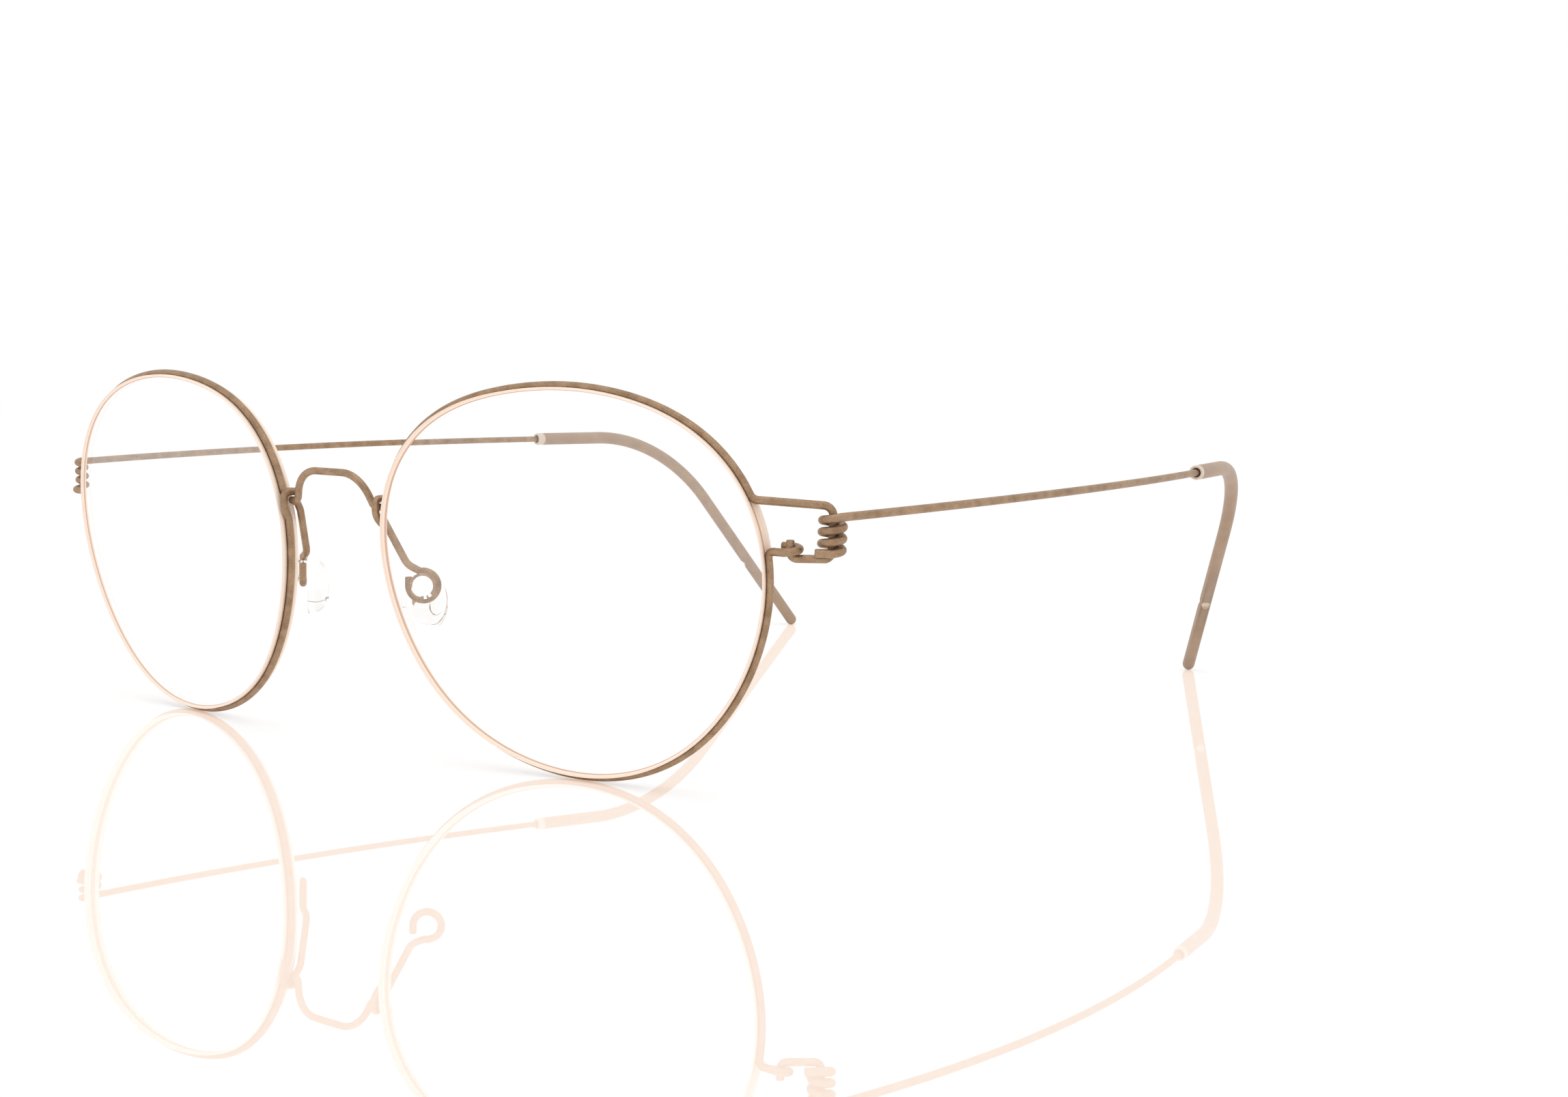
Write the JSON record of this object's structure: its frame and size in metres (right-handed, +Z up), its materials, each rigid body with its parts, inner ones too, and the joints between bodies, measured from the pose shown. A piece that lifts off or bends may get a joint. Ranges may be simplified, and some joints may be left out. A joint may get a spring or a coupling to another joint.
{
  "type": "eyeglasses",
  "caption": "Thin titanium wire eyeglasses without screws: round lenses held in wire rims, coiled wire hinges, linked bridge wire, clear nose pads and sleeved temples.",
  "frame": {"origin": "middle of the outline on the surface the open glasses stand on", "axes": "+X towards the wearer's left, -Y the way the lenses face, +Y along the temples, +Z up"},
  "size_m": [0.1282, 0.13, 0.0413],
  "materials": {
    "lens": "clear polished",
    "titanium_wire": "satin brown coated titanium",
    "pad_silicone": "clear soft silicone",
    "sleeve_silicone": "matte warm beige silicone tube"
  },
  "bodies": {
    "front": {"left_lens": "lens", "right_lens": "lens", "left_rim_wire": "titanium_wire", "right_rim_wire": "titanium_wire", "bridge_wire": "titanium_wire", "left_nose_pad": "pad_silicone", "right_nose_pad": "pad_silicone"},
    "left_temple": {"left_temple_wire": "titanium_wire", "left_sleeve": "sleeve_silicone"},
    "right_temple": {"right_temple_wire": "titanium_wire", "right_sleeve": "sleeve_silicone"}
  },
  "joints": [
    {"name": "left_temple_hinge", "type": "hinge", "parent": "front", "child": "left_temple", "pos_m": [0.06099, -0.05372, 0.02737], "axis": [0.0501, -0.0189, 0.9986], "range_deg": [0, 78]},
    {"name": "right_temple_hinge", "type": "hinge", "parent": "front", "child": "right_temple", "pos_m": [-0.06099, -0.05372, 0.02737], "axis": [0.0501, 0.0189, -0.9986], "range_deg": [0, 60]}
  ]
}
